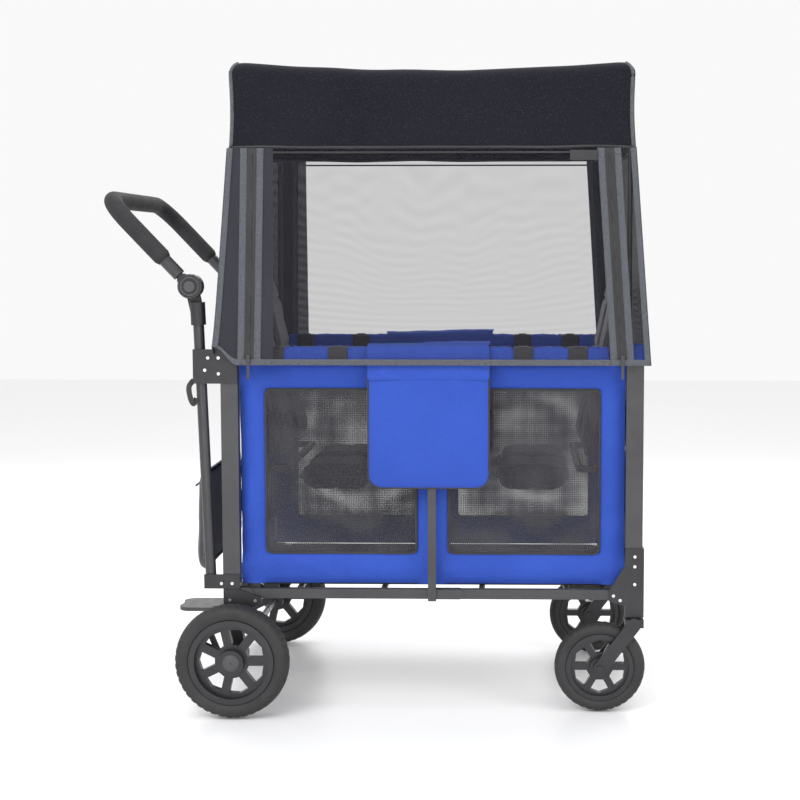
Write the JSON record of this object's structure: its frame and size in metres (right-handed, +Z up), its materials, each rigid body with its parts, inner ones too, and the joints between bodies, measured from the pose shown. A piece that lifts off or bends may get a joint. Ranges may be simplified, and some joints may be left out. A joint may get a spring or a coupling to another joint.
{
  "type": "wagon with pull handle",
  "caption": "Folding stroller wagon with facing raised seats, push-pull handle, swivel front wheels, canopy and a zipped net cover over a fabric tub.",
  "frame": {"origin": "on the floor, under the middle of the whole wagon's box", "axes": "+X towards the swivel wheels at the front, +Y across the wagon, +Z up"},
  "size_m": [1.2125, 0.744, 1.4388],
  "materials": {
    "frame_tube": "satin black powder coat with a fine texture",
    "plastic_black": "moulded black nylon, fine grain",
    "plastic_grey": "moulded dark grey nylon",
    "steel": "zinc-plated steel",
    "tyre": "solid foamed rubber tyre",
    "rim": "moulded black spoked rim",
    "foam_grip": "soft black foam sleeve",
    "fabric_blue": "royal blue woven polyester",
    "fabric_black": "black woven polyester",
    "seat_fabric": "black padded polyester",
    "canopy_knit": "black-navy stretch knit with a fine speckle",
    "net_black": "fine black insect net",
    "zip_metal": "black enamelled zip slider"
  },
  "bodies": {
    "root": {"rear_frame": "frame_tube", "rear_brackets": "plastic_black", "rear_legs": "plastic_black", "rear_axle": "steel", "rear_rivets": "steel", "rear_seat_frame": "frame_tube", "handle_posts": "frame_tube", "knuckle_housings": "plastic_black", "rear_pocket": "fabric_black", "rear_end_panel": "fabric_blue", "seat_backs_rear": "seat_fabric", "rear_hoop": "frame_tube", "side_walls": "fabric_blue", "net_sides": "net_black", "net_end_rear": "net_black", "canopy_roof": "canopy_knit"},
    "handle": {"handle_bar": "frame_tube", "handle_grip": "foam_grip", "knuckle_discs": "plastic_black"},
    "button_near": {"handle_button_near": "plastic_grey"},
    "button_far": {"handle_button_far": "plastic_grey"},
    "brake": {"brake_pedal": "plastic_grey"},
    "wheel_rear_near": {"tyre_rear_near": "tyre", "rim_rear_near": "rim", "bearing_rear_near": "steel"},
    "wheel_rear_far": {"tyre_rear_far": "tyre", "rim_rear_far": "rim", "bearing_rear_far": "steel"},
    "wheel_front_near": {"tyre_front_near": "tyre", "rim_front_near": "rim", "bearing_front_near": "steel"},
    "wheel_front_far": {"tyre_front_far": "tyre", "rim_front_far": "rim", "bearing_front_far": "steel"},
    "bottom_rear": {"bottom_rails_rear": "frame_tube", "floor_board_rear": "fabric_black"},
    "bottom_front": {"bottom_rails_front": "frame_tube", "floor_board_front": "fabric_black"},
    "top_rear": {"top_rails_rear": "frame_tube", "top_covers_rear": "fabric_blue"},
    "top_front": {"top_rails_front": "frame_tube", "top_covers_front": "fabric_blue"},
    "centre": {"centre_posts": "frame_tube", "side_pouches": "fabric_blue"},
    "front": {"front_frame": "frame_tube", "front_sleeves": "plastic_black", "front_rivets": "steel", "front_seat_frame": "frame_tube", "front_end_panel": "fabric_blue", "seat_backs_front": "seat_fabric", "front_hoop": "frame_tube", "net_end_front": "net_black"},
    "seat_rear": {"seat_base_rear": "seat_fabric"},
    "seat_front": {"seat_base_front": "seat_fabric"},
    "caster_near": {"caster_fork_near": "plastic_black"},
    "caster_far": {"caster_fork_far": "plastic_black"},
    "zip_rear_near": {"zip_rear_near": "zip_metal"},
    "zip_rear_far": {"zip_rear_far": "zip_metal"},
    "zip_front_near": {"zip_front_near": "zip_metal"},
    "zip_front_far": {"zip_front_far": "zip_metal"}
  },
  "joints": [
    {"name": "fold", "type": "hinge", "parent": "root", "child": "bottom_rear", "pos_m": [-0.286, 0, 0.264], "axis": [0, -1, 0], "range_deg": [0, 55], "deforming": ["side_walls", "net_sides", "canopy_roof"]},
    {"name": "bottom_middle", "type": "hinge", "parent": "bottom_rear", "child": "bottom_front", "pos_m": [0.126, 0, 0.264], "axis": [0, -1, 0], "range_deg": [-110, 0]},
    {"name": "front_hinge", "type": "hinge", "parent": "bottom_front", "child": "front", "pos_m": [0.538, 0, 0.264], "axis": [0, -1, 0], "range_deg": [0, 55]},
    {"name": "top_hinge", "type": "hinge", "parent": "root", "child": "top_rear", "pos_m": [-0.286, 0, 0.8], "axis": [0, -1, 0], "range_deg": [0, 55]},
    {"name": "top_middle", "type": "hinge", "parent": "top_rear", "child": "top_front", "pos_m": [0.126, 0, 0.8], "axis": [0, -1, 0], "range_deg": [-110, 0]},
    {"name": "centre_post_pivot", "type": "hinge", "parent": "bottom_rear", "child": "centre", "pos_m": [0.126, 0, 0.264], "axis": [0, -1, 0], "range_deg": [-55, 0]},
    {"name": "seat_rear_flip", "type": "hinge", "parent": "root", "child": "seat_rear", "pos_m": [-0.202, 0, 0.54], "axis": [0, -1, 0], "range_deg": [0, 66]},
    {"name": "seat_front_flip", "type": "hinge", "parent": "front", "child": "seat_front", "pos_m": [0.454, 0, 0.54], "axis": [0, 1, 0], "range_deg": [0, 66]},
    {"name": "handle_tilt", "type": "hinge", "parent": "root", "child": "handle", "pos_m": [-0.406, 0, 0.949], "axis": [0, 1, 0], "range_deg": [-85, 40]},
    {"name": "button_near_push", "type": "slide", "parent": "handle", "child": "button_near", "axis": [0, 1, 0], "range_m": [0, 0.004], "stiffness_N_per_m": 500},
    {"name": "button_far_push", "type": "slide", "parent": "handle", "child": "button_far", "axis": [0, -1, 0], "range_m": [0, 0.004], "stiffness_N_per_m": 500},
    {"name": "brake_press", "type": "hinge", "parent": "root", "child": "brake", "pos_m": [-0.374, 0, 0.195], "axis": [0, -1, 0], "range_deg": [0, 18]},
    {"name": "wheel_rear_near_spin", "type": "hinge", "parent": "root", "child": "wheel_rear_near", "pos_m": [-0.312, -0.345, 0.127], "axis": [0, 1, 0], "continuous": true},
    {"name": "wheel_rear_far_spin", "type": "hinge", "parent": "root", "child": "wheel_rear_far", "pos_m": [-0.312, 0.345, 0.127], "axis": [0, 1, 0], "continuous": true},
    {"name": "caster_near_swivel", "type": "hinge", "parent": "front", "child": "caster_near", "pos_m": [0.575, -0.272, 0.23], "axis": [0, 0, 1], "continuous": true},
    {"name": "caster_far_swivel", "type": "hinge", "parent": "front", "child": "caster_far", "pos_m": [0.575, 0.272, 0.23], "axis": [0, 0, 1], "continuous": true},
    {"name": "wheel_front_near_spin", "type": "hinge", "parent": "caster_near", "child": "wheel_front_near", "pos_m": [0.5, -0.272, 0.1015], "axis": [0, 1, 0], "continuous": true},
    {"name": "wheel_front_far_spin", "type": "hinge", "parent": "caster_far", "child": "wheel_front_far", "pos_m": [0.5, 0.272, 0.1015], "axis": [0, 1, 0], "continuous": true},
    {"name": "zip_rear_near_pull", "type": "slide", "parent": "root", "child": "zip_rear_near", "axis": [0, 0.0632, 0.998], "range_m": [0, 0.44]},
    {"name": "zip_rear_far_pull", "type": "slide", "parent": "root", "child": "zip_rear_far", "axis": [0, -0.0632, 0.998], "range_m": [0, 0.44]},
    {"name": "zip_front_near_pull", "type": "slide", "parent": "front", "child": "zip_front_near", "axis": [-0.0651, 0.063, 0.9959], "range_m": [0, 0.44]},
    {"name": "zip_front_far_pull", "type": "slide", "parent": "front", "child": "zip_front_far", "axis": [-0.0651, -0.063, 0.9959], "range_m": [0, 0.44]}
  ],
  "couplings": [
    {"joint": "bottom_middle", "follows": "fold", "ratio": -2},
    {"joint": "front_hinge", "follows": "fold", "ratio": 1},
    {"joint": "top_hinge", "follows": "fold", "ratio": 1},
    {"joint": "top_middle", "follows": "fold", "ratio": -2},
    {"joint": "centre_post_pivot", "follows": "fold", "ratio": -1},
    {"joint": "seat_rear_flip", "follows": "fold", "ratio": 1.2},
    {"joint": "seat_front_flip", "follows": "fold", "ratio": 1.2}
  ]
}
